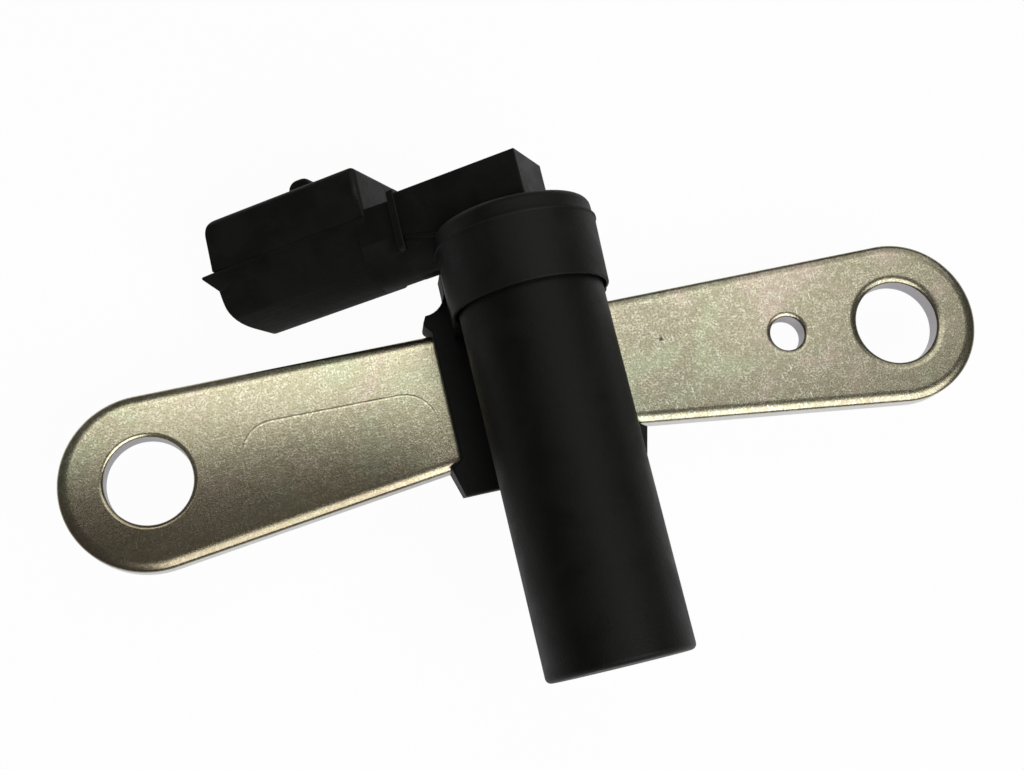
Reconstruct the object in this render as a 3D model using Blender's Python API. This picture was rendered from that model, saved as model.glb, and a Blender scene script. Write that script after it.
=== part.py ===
"""Inductive rotation sensor with a bolted steel strip, a plain barrel and a two-pin connector.

Frame: metres, +Z up. The origin is the middle of the strip's mating face, which lies in Z = 0.
+X runs along the strip towards the end with the small hole, and +Y runs along the barrel from
its sensing tip to its head. The connector arm leaves the head over the strip's -X half.
"""
import math

import bmesh
import bpy
from mathutils import Matrix, Vector

MM = 0.001
CLEARANCE = 0.3 * MM

# Steel strip
STRIP_THICKNESS = 3.0 * MM
HOLE_SPACING = 100.0 * MM
LEFT_EAR_RADIUS = 11.25 * MM
LEFT_EAR_DROP = 0.15 * MM
RIGHT_EAR_RADIUS = 10.85 * MM
BOLT_BORE = 11.1 * MM
BORE_ROLL = 0.5 * MM
SMALL_BORE = 4.6 * MM
SMALL_BORE_ROLL = 0.25 * MM
SMALL_HOLE_FROM_RIGHT = 15.1 * MM
SMALL_HOLE_RISE = 1.6 * MM
WAIST_OFFSET = 4.0 * MM
WAIST_DROP = 4.9 * MM
EDGE_ROLL = 0.8 * MM
LOCK_BORE = 4.6 * MM
LOCK_SPACING = 13.0 * MM
LOCK_RISE = 3.0 * MM
LOCK_FLARE = 1.1 * MM
PLUG_RECESS = 0.2 * MM

# Plastic block round the middle of the strip
BLOCK_BACK = 0.3 * MM
BLOCK_HEIGHT = 4.8 * MM
BLOCK_HALF_WIDTH = 11.45 * MM
BLOCK_TOP = 13.3 * MM
BLOCK_BOTTOM = 10.8 * MM
LIP_REACH = 1.45 * MM
LOWER_LIP_DEPTH = 3.9 * MM
UPPER_LIP_DEPTH = 2.3 * MM
LIP_DRAFT = 1.0 * MM
BLOCK_DRAFT = 0.5 * MM
BLOCK_EDGE = 0.35 * MM
WEB_HALF_WIDTH = 6.0 * MM
WEB_BOTTOM = 9.6 * MM
SHOULDER_HALF_WIDTH = 8.8 * MM
SHOULDER_FILLET = 3.0 * MM
SHOULDER_TOP = 18.4 * MM

# Barrel and head
AXIS_HEIGHT = 16.5 * MM
BARREL_RADIUS = 9.0 * MM
BARREL_BORE_RADIUS = 6.9 * MM
TIP_REACH = 35.8 * MM
TIP_WALL = 1.4 * MM
TIP_ROUND = 0.7 * MM
HEAD_RADIUS = 10.05 * MM
HEAD_BASE = 9.2 * MM
HEAD_TOP = 20.0 * MM
HEAD_RIM = 17.6 * MM
HEAD_RIM_STEP = 0.2 * MM
HEAD_BEAD = 0.16 * MM
HEAD_ROUND = 1.0 * MM
SKIRT_DEPTH = 0.5 * MM
SPIGOT_RADIUS = 8.2 * MM
SPIGOT_TOP = 15.0 * MM
CHAMBER_RADIUS = 6.0 * MM
CHAMBER_TOP = 18.4 * MM

# Arm and connector, measured along the arm from the barrel's axis
ARM_YAW = math.radians(28.0)
ARM_FRONT = 5.0 * MM
ARM_BACK = 5.0 * MM
ARM_TOP = 26.8 * MM
ARM_BOTTOM = 16.5 * MM
ARM_HULL_RISE = 5.5 * MM
ARM_END = 4.1 * MM
ARM_END_CHAMFER = 0.9 * MM
NECK_RECESS = 0.5 * MM
RIB_START = 12.3 * MM
RIB_WIDTH = 1.0 * MM
RIB_HEIGHT = 0.5 * MM
RIB_BOTTOM = 19.3 * MM
SHELL_START = 17.0 * MM
SHELL_END = 39.5 * MM
SHELL_TOP = 32.15 * MM
SHELL_BACK = 7.9 * MM
SHELL_BOTTOM = 16.8 * MM
SHELL_SPLIT = 25.3 * MM
SHELL_HULL_STEP = 0.5 * MM
SHELL_WALL = 1.5 * MM
KEEL_LENGTH = 5.0 * MM
KEEL_RISE = 4.2 * MM
MOUTH_ROUND = 1.6 * MM
CORNER_ROUND = 0.9 * MM
MOUTH_DEPTH = 14.1 * MM
GUIDE_HEIGHT = 2.8 * MM
GUIDE_LENGTH = 4.0 * MM
GUIDE_NOSE = 1.6 * MM
LATCH_HEIGHT = 2.8 * MM
LATCH_START = 25.3 * MM
LATCH_LENGTH = 3.4 * MM
LATCH_WIDTH = 4.0 * MM

# Terminals: the blades lie below the arm's top, the tails end above the magnet's cup
BLADE_WIDTH = 1.5 * MM
BLADE_THICKNESS = 0.8 * MM
BLADE_PITCH = 3.6 * MM
BLADE_OFFSET = -1.0 * MM
BLADE_HEIGHT = 2.0 * MM
BLADE_END = 36.6 * MM
BLADE_TIP = 0.7 * MM
TAIL_END = 0.6 * MM
HOLDER_START = 3.0 * MM
HOLDER_END = 20.6 * MM
HOLDER_BOTTOM = 4.6 * MM
HOLDER_RIB = 1.5 * MM

# Coil and magnet inside the barrel
POLE_RADIUS = 2.0 * MM
BOBBIN_RADIUS = 6.5 * MM
BOBBIN_HUB_WALL = 1.0 * MM
FLANGE = 1.2 * MM
WINDING_LENGTH = 19.9 * MM
WINDING_RADIUS = 5.9 * MM
TAPE_WALL = 0.2 * MM
MAGNET_RADIUS = 4.5 * MM
MAGNET_LENGTH = 7.0 * MM
FLUX_PLATE = 1.5 * MM
LEAD_RADIUS = 0.25 * MM
LEAD_CIRCLE = 6.1 * MM
LEAD_GROOVE = 1.2 * MM
LEAD_BEND = 0.8 * MM
LEAD_RISE = 1.0 * MM
PLUG_TOP = 13.6 * MM

ROUND_SEGMENTS = 56
COIL_SEGMENTS = 40
SMALL_SEGMENTS = 28


def clear_scene():
    """Remove whatever the file opened with."""
    for item in list(bpy.data.objects):
        bpy.data.objects.remove(item, do_unlink=True)


def material(name, colour, roughness, metallic=0.0):
    """A Principled material with one plain colour."""
    made = bpy.data.materials.new(name)
    made.use_nodes = True
    shader = made.node_tree.nodes["Principled BSDF"]
    shader.inputs["Base Color"].default_value = (*colour, 1.0)
    shader.inputs["Roughness"].default_value = roughness
    shader.inputs["Metallic"].default_value = metallic
    return made


def add_object(name, mesh, parent, look=None):
    """Link a mesh under one of the frames, smooth its round faces and give it its material."""
    item = bpy.data.objects.new(name, mesh)
    bpy.context.scene.collection.objects.link(item)
    item.parent = parent
    mesh.shade_smooth()
    mesh.set_sharp_from_angle(angle=math.radians(35))
    if look:
        mesh.materials.append(look)
    return item


def mesh_from(name, shape):
    """Turn a bmesh into a mesh whose faces point outwards."""
    bmesh.ops.recalc_face_normals(shape, faces=shape.faces)
    mesh = bpy.data.meshes.new(name)
    shape.to_mesh(mesh)
    shape.free()
    return mesh


def arc(centre, radius, start, end, steps, rise=None):
    """Points on an arc, angles in degrees, both ends included; rise makes it part of an ellipse."""
    height = radius if rise is None else rise
    points = []
    for index in range(steps + 1):
        angle = math.radians(start + (end - start) * index / steps)
        points.append((centre[0] + radius * math.cos(angle), centre[1] + height * math.sin(angle)))
    return points


def extruded(name, outline, low, high, axis="Z"):
    """A closed outline extruded along the named axis of its frame.

    Outlines are (x, y) for Z, (x, z) for Y and (y, z) for X.
    """
    order = {
        "Z": lambda a, b, c: (a, b, c),
        "Y": lambda a, b, c: (a, c, b),
        "X": lambda a, b, c: (c, a, b),
    }
    shape = bmesh.new()
    base = [shape.verts.new(order[axis](a, b, low)) for a, b in outline]
    face = shape.faces.new(base)
    made = bmesh.ops.extrude_face_region(shape, geom=[face])
    moved = [item for item in made["geom"] if isinstance(item, bmesh.types.BMVert)]
    bmesh.ops.translate(shape, verts=moved, vec=Vector(order[axis](0.0, 0.0, high - low)))
    return mesh_from(name, shape)


def turned(name, profile, segments, closed=False):
    """A (radius, height) profile turned about Z; it ends on the axis unless it is a closed ring."""
    shape = bmesh.new()
    points = [shape.verts.new((radius, 0.0, height)) for radius, height in profile]
    edges = [shape.edges.new(pair) for pair in zip(points, points[1:])]
    if closed:
        edges.append(shape.edges.new((points[-1], points[0])))
    bmesh.ops.spin(shape, geom=points + edges, cent=(0, 0, 0), axis=(0, 0, 1), angle=2 * math.pi,
                   steps=segments, use_merge=True)
    bmesh.ops.remove_doubles(shape, verts=shape.verts, dist=1e-7)
    return mesh_from(name, shape)


def rounded_box(low, high, radius, steps=3):
    """The outline of a box with round corners, from its lower left corner and anticlockwise."""
    (x0, y0), (x1, y1) = low, high
    return (arc((x0 + radius, y0 + radius), radius, 180, 270, steps)
            + arc((x1 - radius, y0 + radius), radius, 270, 360, steps)
            + arc((x1 - radius, y1 - radius), radius, 0, 90, steps)
            + arc((x0 + radius, y1 - radius), radius, 90, 180, steps))


def boolean(target, tool, operation):
    """Join a tool to the target, cut it out or keep what they share, and hide the tool."""
    modifier = target.modifiers.new(tool.name, "BOOLEAN")
    modifier.operation = operation
    modifier.solver = "EXACT"
    modifier.object = tool
    tool.hide_render = True
    tool.display_type = "WIRE"


def build_frames():
    """Empties for the strip, the barrel's axis and the arm, each with its own directions."""
    strip = bpy.data.objects.new("strip_frame", None)
    barrel = bpy.data.objects.new("barrel_axis", None)
    barrel.location = (0.0, 0.0, AXIS_HEIGHT)
    barrel.rotation_euler = (-math.pi / 2, 0.0, 0.0)
    arm = bpy.data.objects.new("arm_axis", None)
    arm.parent = barrel
    arm.rotation_euler = (0.0, 0.0, math.pi - ARM_YAW)
    for item in (strip, barrel, arm):
        bpy.context.scene.collection.objects.link(item)
    return strip, barrel, arm


def strip_outline(grow=0.0):
    """Two round ears joined by a straight top edge and a bottom edge that rises to a waist."""
    left_ear = Vector((-HOLE_SPACING / 2, -LEFT_EAR_DROP))
    right_ear = Vector((HOLE_SPACING / 2, 0.0))
    left = LEFT_EAR_RADIUS + grow
    right = RIGHT_EAR_RADIUS + grow
    waist = Vector((WAIST_OFFSET, -WAIST_DROP - grow))
    span = right_ear - left_ear
    top = math.degrees(math.atan2(span.y, span.x) + math.acos((left - right) / span.length))

    def tangent_angle(centre, radius, side):
        reach = waist - centre
        return math.degrees(math.atan2(reach.y, reach.x) + side * math.acos(radius / reach.length))

    points = arc(right_ear, right, tangent_angle(right_ear, right, 1), top, 22)
    points += arc(left_ear, left, top, tangent_angle(left_ear, left, -1) + 360, 22)
    points.append(tuple(waist))
    return points


def rolled_bore(name, bore, roll, parent, place):
    """A cutter for a punched hole whose upper edge is rolled over."""
    radius = bore / 2
    lip = [(radius + roll - roll * math.cos(math.radians(a)),
            STRIP_THICKNESS - roll + roll * math.sin(math.radians(a))) for a in (0, 30, 60, 90)]
    profile = [(0.0, -STRIP_THICKNESS), (radius, -STRIP_THICKNESS)] + lip
    profile += [(radius + roll, 2 * STRIP_THICKNESS), (0.0, 2 * STRIP_THICKNESS)]
    cutter = add_object(name, turned(name, profile, ROUND_SEGMENTS), parent)
    cutter.location = (*place, 0.0)
    return cutter


def flared_plug(name, clearance, top, parent, place):
    """The shape of a locking hole, or of the plastic that fills it: a pin that flares at Z = 0."""
    radius = LOCK_BORE / 2 - clearance
    start = PLUG_RECESS if clearance else -LOCK_FLARE
    profile = [(0.0, start), (radius + LOCK_FLARE - start, start), (radius, LOCK_FLARE), (radius, top)]
    profile.append((0.0, top))
    item = add_object(name, turned(name, profile, SMALL_SEGMENTS), parent)
    item.location = (*place, 0.0)
    return item


def build_strip(frame, look):
    """The punched steel strip with two bolt holes, a small hole and two locking holes."""
    mesh = extruded("mounting_strip", strip_outline(), 0.0, STRIP_THICKNESS)
    shape = bmesh.new()
    shape.from_mesh(mesh)
    rim = [edge for edge in shape.edges if all(v.co.z > STRIP_THICKNESS / 2 for v in edge.verts)]
    bmesh.ops.bevel(shape, geom=rim, offset=EDGE_ROLL, segments=3, profile=0.5, affect="EDGES")
    shape.to_mesh(mesh)
    shape.free()
    strip = add_object("mounting_strip", mesh, frame, look)
    half = HOLE_SPACING / 2
    boolean(strip, rolled_bore("left_bore", BOLT_BORE, BORE_ROLL, frame, (-half, 0.0)), "DIFFERENCE")
    boolean(strip, rolled_bore("right_bore", BOLT_BORE, BORE_ROLL, frame, (half, 0.0)), "DIFFERENCE")
    small = (half - SMALL_HOLE_FROM_RIGHT, SMALL_HOLE_RISE)
    boolean(strip, rolled_bore("small_bore", SMALL_BORE, SMALL_BORE_ROLL, frame, small), "DIFFERENCE")
    for side in (-1, 1):
        place = (side * LOCK_SPACING / 2, LOCK_RISE)
        hole = flared_plug(f"lock_hole_{side}", 0.0, 2 * STRIP_THICKNESS, frame, place)
        boolean(strip, hole, "DIFFERENCE")
    return strip


def block_outline():
    """The block seen from above: a pad, lips round both edges of the strip and a filleted neck."""
    lip = BLOCK_HALF_WIDTH + LIP_REACH
    low = -BLOCK_BOTTOM + LOWER_LIP_DEPTH
    high = BLOCK_TOP - UPPER_LIP_DEPTH
    half = [(lip - LIP_DRAFT, -BLOCK_BOTTOM), (lip, low), (BLOCK_HALF_WIDTH, low + LIP_DRAFT),
            (BLOCK_HALF_WIDTH, high), (lip - LIP_DRAFT / 2, high + UPPER_LIP_DEPTH / 2)]
    fillet_centre = (SHOULDER_HALF_WIDTH + SHOULDER_FILLET, BLOCK_TOP + SHOULDER_FILLET)
    half += arc(fillet_centre, SHOULDER_FILLET, 270, 180, 4)
    half.append((SHOULDER_HALF_WIDTH, SHOULDER_TOP))
    return half + [(-x, y) for x, y in reversed(half)]


def shoulder_section():
    """The flanks that run from the widest part of the head down to the block, with draft."""
    low = STRIP_THICKNESS + 2 * CLEARANCE
    foot = SHOULDER_HALF_WIDTH - CLEARANCE / 2
    top = HEAD_RADIUS - CLEARANCE / 6
    return [(-foot, low), (foot, low), (top, AXIS_HEIGHT), (-top, AXIS_HEIGHT)]


def hull_section(front, back, top, bottom, split, step, corner):
    """A (w, height) section with a flat upper half and a half-round underside set in by a step."""
    section = arc((front - corner, top - corner), corner, 0, 90, 3)
    section += arc((-back + corner, top - corner), corner, 90, 180, 3)
    hull = arc(((front - back) / 2, split), (front + back) / 2 - step, 180, 360, 14, split - bottom)
    return section + ([(-back, split)] + hull + [(front, split)] if step else hull)


def side_outline():
    """The connector shell seen from its side, with the round corners of its mouth."""
    low = SHELL_BOTTOM - CLEARANCE / 3
    top_angle = 75
    top_centre = SHELL_TOP - MOUTH_ROUND * math.sin(math.radians(top_angle))
    points = [(SHELL_START - SHELL_WALL, low), (SHELL_END - KEEL_LENGTH, low)]
    points += arc((SHELL_END - KEEL_LENGTH, low + KEEL_RISE), KEEL_LENGTH, 285, 360, 5, KEEL_RISE)
    points += arc((SHELL_END - MOUTH_ROUND, top_centre), MOUTH_ROUND, 0, top_angle, 3)
    return points + [(SHELL_END - 2 * MOUTH_ROUND, SHELL_TOP + MOUTH_ROUND),
                     (SHELL_START - SHELL_WALL, SHELL_TOP + MOUTH_ROUND)]


def mouth_outline():
    """The cavity of the connector: flat sides and top, and a half-round floor."""
    floor = SHELL_BOTTOM + KEEL_RISE + SHELL_WALL - 2 * CLEARANCE
    return hull_section(ARM_FRONT - SHELL_WALL, SHELL_BACK - SHELL_WALL, SHELL_TOP - SHELL_WALL, floor,
                        SHELL_SPLIT, 0.0, CORNER_ROUND)


def build_connector(frame):
    """The connector shell with its round keel, guide lip and latch, before it is hollowed."""
    section = hull_section(ARM_FRONT, SHELL_BACK, SHELL_TOP, SHELL_BOTTOM, SHELL_SPLIT, SHELL_HULL_STEP,
                           CORNER_ROUND)
    mesh = extruded("connector_shell", section, SHELL_START, SHELL_END + MOUTH_ROUND, "X")
    shell = add_object("connector_shell", mesh, frame)
    reach = 2 * (SHELL_BACK + ARM_FRONT)
    side = extruded("connector_side", side_outline(), -reach, reach, "Y")
    boolean(shell, add_object("connector_side", side, frame), "INTERSECT")
    tip = SHELL_END + GUIDE_NOSE
    root = SHELL_END - GUIDE_LENGTH
    nose = [(root, SHELL_SPLIT + CLEARANCE), (tip, SHELL_SPLIT - CLEARANCE),
            (tip, SHELL_SPLIT - 2 * CLEARANCE), (SHELL_END - CLEARANCE, SHELL_SPLIT - GUIDE_HEIGHT),
            (root, SHELL_SPLIT - GUIDE_HEIGHT / 2)]
    guide = extruded("guide_lip", nose, ARM_FRONT - SHELL_WALL, ARM_FRONT + CLEARANCE, "Y")
    boolean(shell, add_object("guide_lip", guide, frame), "UNION")
    middle = (ARM_FRONT - SHELL_BACK) / 2
    nub = rounded_box((LATCH_START, SHELL_TOP - SHELL_WALL / 2),
                      (LATCH_START + LATCH_LENGTH, SHELL_TOP + LATCH_HEIGHT), SHELL_WALL / 2)
    latch = extruded("latch", nub, middle - LATCH_WIDTH / 2, middle + LATCH_WIDTH / 2, "Y")
    boolean(shell, add_object("latch", latch, frame), "UNION")
    return shell


def build_arm(frame):
    """The arm over the head, with its chamfered end, its rib and the slimmer neck beyond it."""
    split = ARM_BOTTOM + ARM_HULL_RISE
    section = hull_section(ARM_FRONT, ARM_BACK, ARM_TOP, ARM_BOTTOM, split, 0.0, CLEARANCE)
    arm = add_object("arm", extruded("arm", section, -ARM_END, RIB_START + RIB_WIDTH, "X"), frame)
    corner = [(-ARM_END - RIB_WIDTH, -ARM_BACK - RIB_WIDTH),
              (-ARM_END + ARM_END_CHAMFER, -ARM_BACK - CLEARANCE),
              (-ARM_END - CLEARANCE, -ARM_BACK + ARM_END_CHAMFER)]
    chamfer = add_object("arm_chamfer", extruded("arm_chamfer", corner, 0.0, 2 * ARM_TOP), frame)
    boolean(arm, chamfer, "DIFFERENCE")
    neck_section = hull_section(ARM_FRONT - NECK_RECESS, ARM_BACK, ARM_TOP - NECK_RECESS,
                                ARM_BOTTOM + CLEARANCE / 3, split, 0.0, CLEARANCE)
    neck = extruded("neck", neck_section, RIB_START, SHELL_START + SHELL_WALL, "X")
    boolean(arm, add_object("neck", neck, frame), "UNION")
    rib_section = rounded_box((-ARM_BACK - RIB_HEIGHT, RIB_BOTTOM),
                              (ARM_FRONT + RIB_HEIGHT, ARM_TOP + RIB_HEIGHT), RIB_HEIGHT)
    rib = extruded("rib", rib_section, RIB_START, RIB_START + RIB_WIDTH, "X")
    boolean(arm, add_object("rib", rib, frame), "UNION")
    return arm


def build_head(frame):
    """The head: a short cylinder with a parting rim and a round top edge."""
    radius = HEAD_RADIUS - HEAD_RIM_STEP
    bead = HEAD_RADIUS + HEAD_BEAD
    profile = [(0.0, HEAD_BASE), (HEAD_RADIUS, HEAD_BASE), (HEAD_RADIUS, HEAD_RIM - 2 * HEAD_BEAD),
               (bead, HEAD_RIM - HEAD_BEAD), (bead, HEAD_RIM), (radius, HEAD_RIM)]
    profile += arc((radius - HEAD_ROUND, HEAD_TOP - HEAD_ROUND), HEAD_ROUND, 0, 90, 4)
    profile.append((0.0, HEAD_TOP))
    return add_object("head", turned("head", profile, ROUND_SEGMENTS), frame)


def sleeve_profile(grow=0.0):
    """Outer half of the barrel's profile, from its tip to the top of its spigot."""
    outer = BARREL_RADIUS + grow
    spigot = SPIGOT_RADIUS + grow
    step = HEAD_BASE + SKIRT_DEPTH - CLEARANCE + grow
    tip = arc((outer - TIP_ROUND, -TIP_REACH - grow + TIP_ROUND), TIP_ROUND, 270, 360, 4)
    return [(0.0, -TIP_REACH - grow)] + tip + [(outer, step), (spigot, step), (spigot, SPIGOT_TOP + grow)]


def blade_places():
    """Sideways places of the two terminals, measured from the arm's middle plane."""
    return {"a": BLADE_OFFSET + BLADE_PITCH / 2, "b": BLADE_OFFSET - BLADE_PITCH / 2}


def blade_height():
    """Height of the blades' middle, which lies a set depth below the arm's top."""
    return ARM_TOP - BLADE_HEIGHT


def channel_sides(grow=0.0):
    """Both sides of the space that the two terminals share inside the arm."""
    edge = BLADE_PITCH / 2 + BLADE_WIDTH / 2 + grow
    return BLADE_OFFSET - edge, BLADE_OFFSET + edge


def hollow_body(body, barrel, arm):
    """Cut the barrel's socket, the chamber over it, the terminal channel, the slots and the mouth."""
    inside = sleeve_profile(CLEARANCE) + [(CHAMBER_RADIUS, SPIGOT_TOP + CLEARANCE),
                                          (CHAMBER_RADIUS, CHAMBER_TOP), (0.0, CHAMBER_TOP)]
    socket = turned("socket", inside, ROUND_SEGMENTS)
    boolean(body, add_object("socket", socket, barrel), "DIFFERENCE")
    low, high = channel_sides(CLEARANCE)
    roof = blade_height() + BLADE_THICKNESS / 2 + CLEARANCE
    floor = blade_height() - HOLDER_BOTTOM - CLEARANCE
    room_start = -BLADE_THICKNESS / 2 - CLEARANCE
    shaft_low = CHAMBER_TOP - SHELL_WALL
    path = [(room_start, shaft_low), (HOLDER_START - CLEARANCE, shaft_low),
            (HOLDER_START - CLEARANCE, floor), (HOLDER_END + CLEARANCE, floor),
            (HOLDER_END + CLEARANCE, roof), (room_start, roof)]
    boolean(body, add_object("channel", extruded("channel", path, low, high, "Y"), arm), "DIFFERENCE")
    mouth_start = SHELL_END - MOUTH_DEPTH
    slot_floor = roof - BLADE_THICKNESS - 2 * CLEARANCE
    for key, place in blade_places().items():
        half = BLADE_WIDTH / 2 + CLEARANCE
        slot = [(place - half, slot_floor), (place + half, slot_floor),
                (place + half, roof), (place - half, roof)]
        name = f"slot_{key}"
        cutter = add_object(name, extruded(name, slot, HOLDER_END, BLADE_END + CLEARANCE, "X"), arm)
        boolean(body, cutter, "DIFFERENCE")
    mouth = extruded("mouth", mouth_outline(), mouth_start, SHELL_END + KEEL_LENGTH, "X")
    boolean(body, add_object("mouth", mouth, arm), "DIFFERENCE")


def build_body(strip_frame, barrel, arm, look):
    """The one black moulding: block, web, shoulder, head, arm and connector shell."""
    mesh = extruded("body_moulding", block_outline(), BLOCK_BACK, BLOCK_HEIGHT)
    shape = bmesh.new()
    shape.from_mesh(mesh)
    for vert in shape.verts:
        if vert.co.z < STRIP_THICKNESS and vert.co.y < -BLOCK_BOTTOM + CLEARANCE:
            vert.co.y += BLOCK_DRAFT
    rim = [edge for edge in shape.edges if all(v.co.z > BLOCK_HEIGHT / 2 for v in edge.verts)]
    bmesh.ops.bevel(shape, geom=rim, offset=BLOCK_EDGE, segments=2, profile=0.5, affect="EDGES")
    shape.to_mesh(mesh)
    shape.free()
    body = add_object("body_moulding", mesh, strip_frame, look)
    web_outline = [(-WEB_HALF_WIDTH, -WEB_BOTTOM), (WEB_HALF_WIDTH, -WEB_BOTTOM),
                   (WEB_HALF_WIDTH, HEAD_BASE + SKIRT_DEPTH), (-WEB_HALF_WIDTH, HEAD_BASE + SKIRT_DEPTH)]
    web = extruded("web", web_outline, STRIP_THICKNESS + 2 * CLEARANCE, AXIS_HEIGHT - BARREL_RADIUS / 2)
    boolean(body, add_object("web", web, strip_frame), "UNION")
    low, high = HEAD_BASE + CLEARANCE, SHOULDER_TOP - CLEARANCE
    shoulder = extruded("shoulder", shoulder_section(), low, high, "Y")
    boolean(body, add_object("shoulder", shoulder, strip_frame), "UNION")
    boolean(body, build_head(barrel), "UNION")
    boolean(body, build_arm(arm), "UNION")
    boolean(body, build_connector(arm), "UNION")
    hollow_body(body, barrel, arm)
    channel = extruded("strip_channel", strip_outline(CLEARANCE), -STRIP_THICKNESS,
                       STRIP_THICKNESS + CLEARANCE)
    boolean(body, add_object("strip_channel", channel, strip_frame), "DIFFERENCE")
    for side in (-1, 1):
        place = (side * LOCK_SPACING / 2, LOCK_RISE)
        top = STRIP_THICKNESS + 2 * CLEARANCE
        plug = flared_plug(f"lock_plug_{side}", CLEARANCE, top, strip_frame, place)
        boolean(body, plug, "UNION")
    return body


def build_sleeve(frame, look):
    """The barrel: a cup with a closed sensing tip and a slimmer spigot that enters the head."""
    inner = [(BARREL_BORE_RADIUS, SPIGOT_TOP), (BARREL_BORE_RADIUS, -TIP_REACH + TIP_WALL),
             (0.0, -TIP_REACH + TIP_WALL)]
    mesh = turned("barrel_sleeve", sleeve_profile() + inner, ROUND_SEGMENTS)
    return add_object("barrel_sleeve", mesh, frame, look)


def coil_heights():
    """Heights along the axis of the coil parts, stacked up from the inside of the tip."""
    bottom = -TIP_REACH + TIP_WALL + CLEARANCE
    winding = bottom + FLANGE + CLEARANCE
    flange = winding + WINDING_LENGTH + CLEARANCE
    magnet = flange + FLANGE + CLEARANCE
    plate = magnet + MAGNET_LENGTH + CLEARANCE
    return {"bottom": bottom, "winding": winding, "flange": flange, "magnet": magnet, "plate": plate,
            "cup_top": plate + FLUX_PLATE}


def build_coil(barrel, arm, looks):
    """The bobbin with its winding, tape, pole pin, magnet and flux plate."""
    heights = coil_heights()
    bore = POLE_RADIUS + CLEARANCE
    hub = bore + BOBBIN_HUB_WALL
    seat = heights["magnet"] - CLEARANCE
    pocket = MAGNET_RADIUS + CLEARANCE
    profile = [(bore, heights["bottom"]), (BOBBIN_RADIUS, heights["bottom"]),
               (BOBBIN_RADIUS, heights["bottom"] + FLANGE), (hub, heights["bottom"] + FLANGE),
               (hub, heights["flange"]), (BOBBIN_RADIUS, heights["flange"]),
               (BOBBIN_RADIUS, heights["cup_top"]), (pocket, heights["cup_top"]),
               (pocket, seat), (bore, seat)]
    bobbin_mesh = turned("coil_bobbin", profile, COIL_SEGMENTS, closed=True)
    bobbin = add_object("coil_bobbin", bobbin_mesh, barrel, looks["bobbin"])
    groove_floor = LEAD_CIRCLE - LEAD_RADIUS - CLEARANCE
    for key, side in (("a", 1), ("b", -1)):
        reach = sorted((side * groove_floor, side * (BOBBIN_RADIUS + FLANGE)))
        outline = [(-LEAD_GROOVE / 2, reach[0]), (LEAD_GROOVE / 2, reach[0]),
                   (LEAD_GROOVE / 2, reach[1]), (-LEAD_GROOVE / 2, reach[1])]
        name = f"lead_groove_{key}"
        mesh = extruded(name, outline, heights["flange"] - CLEARANCE, heights["cup_top"] + FLANGE)
        boolean(bobbin, add_object(name, mesh, arm), "DIFFERENCE")
    low, high = heights["winding"], heights["winding"] + WINDING_LENGTH
    inner = hub + CLEARANCE
    winding = [(inner, low), (WINDING_RADIUS, low), (WINDING_RADIUS, high), (inner, high)]
    winding_mesh = turned("coil_winding", winding, COIL_SEGMENTS, closed=True)
    add_object("coil_winding", winding_mesh, barrel, looks["copper"])
    inner = WINDING_RADIUS + CLEARANCE
    tape = [(inner, low), (inner + TAPE_WALL, low), (inner + TAPE_WALL, high), (inner, high)]
    tape_mesh = turned("winding_tape", tape, COIL_SEGMENTS, closed=True)
    add_object("winding_tape", tape_mesh, barrel, looks["tape"])
    edge = POLE_RADIUS / 8
    pin = [(0.0, heights["bottom"]), (POLE_RADIUS - edge, heights["bottom"]),
           (POLE_RADIUS, heights["bottom"] + edge), (POLE_RADIUS, seat), (0.0, seat)]
    add_object("pole_pin", turned("pole_pin", pin, SMALL_SEGMENTS), barrel, looks["iron"])
    discs = {
        "magnet": (heights["magnet"], MAGNET_LENGTH, looks["magnet"]),
        "flux_plate": (heights["plate"], FLUX_PLATE, looks["iron"]),
    }
    for name, (start, length, look) in discs.items():
        end = start + length
        disc = [(0.0, start), (MAGNET_RADIUS - edge, start), (MAGNET_RADIUS, start + edge),
                (MAGNET_RADIUS, end - edge), (MAGNET_RADIUS - edge, end), (0.0, end)]
        add_object(name, turned(name, disc, SMALL_SEGMENTS), barrel, look)


def build_terminals(arm, looks):
    """Two bent strips that run from the coil up through the head and along the arm to the mouth."""
    half = BLADE_THICKNESS / 2
    middle = blade_height()
    low, high = middle - half, middle + half
    tail = coil_heights()["cup_top"] + TAIL_END
    bend = arc((-half + BLADE_THICKNESS, high - BLADE_THICKNESS), BLADE_THICKNESS, 90, 180, 3)
    outline = [(-half, tail), (half, tail), (half, low), (BLADE_END - BLADE_TIP, low),
               (BLADE_END, middle - half / 3), (BLADE_END, middle + half / 3),
               (BLADE_END - BLADE_TIP, high)]
    for key, place in blade_places().items():
        name = f"terminal_{key}"
        mesh = extruded(name, outline + bend, place - BLADE_WIDTH / 2, place + BLADE_WIDTH / 2, "Y")
        add_object(name, mesh, arm, looks["brass"])
    side_low, side_high = channel_sides()
    floor = middle - HOLDER_BOTTOM
    box = [(HOLDER_START, floor), (HOLDER_END, floor), (HOLDER_END, high), (HOLDER_START, high)]
    mesh = extruded("terminal_holder", box, side_low, side_high, "Y")
    holder = add_object("terminal_holder", mesh, arm, looks["bobbin"])
    groove = [(HOLDER_START - HOLDER_RIB, low - CLEARANCE), (HOLDER_END + HOLDER_RIB, low - CLEARANCE),
              (HOLDER_END + HOLDER_RIB, high + HOLDER_RIB), (HOLDER_START - HOLDER_RIB, high + HOLDER_RIB)]
    for key, side in (("a", 1), ("b", -1)):
        name = f"holder_groove_{key}"
        reach = sorted((BLADE_OFFSET + side * HOLDER_RIB / 2, BLADE_OFFSET + side * BLADE_PITCH * 2))
        cutter = add_object(name, extruded(name, groove, *reach, "Y"), arm)
        boolean(holder, cutter, "DIFFERENCE")


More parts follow.
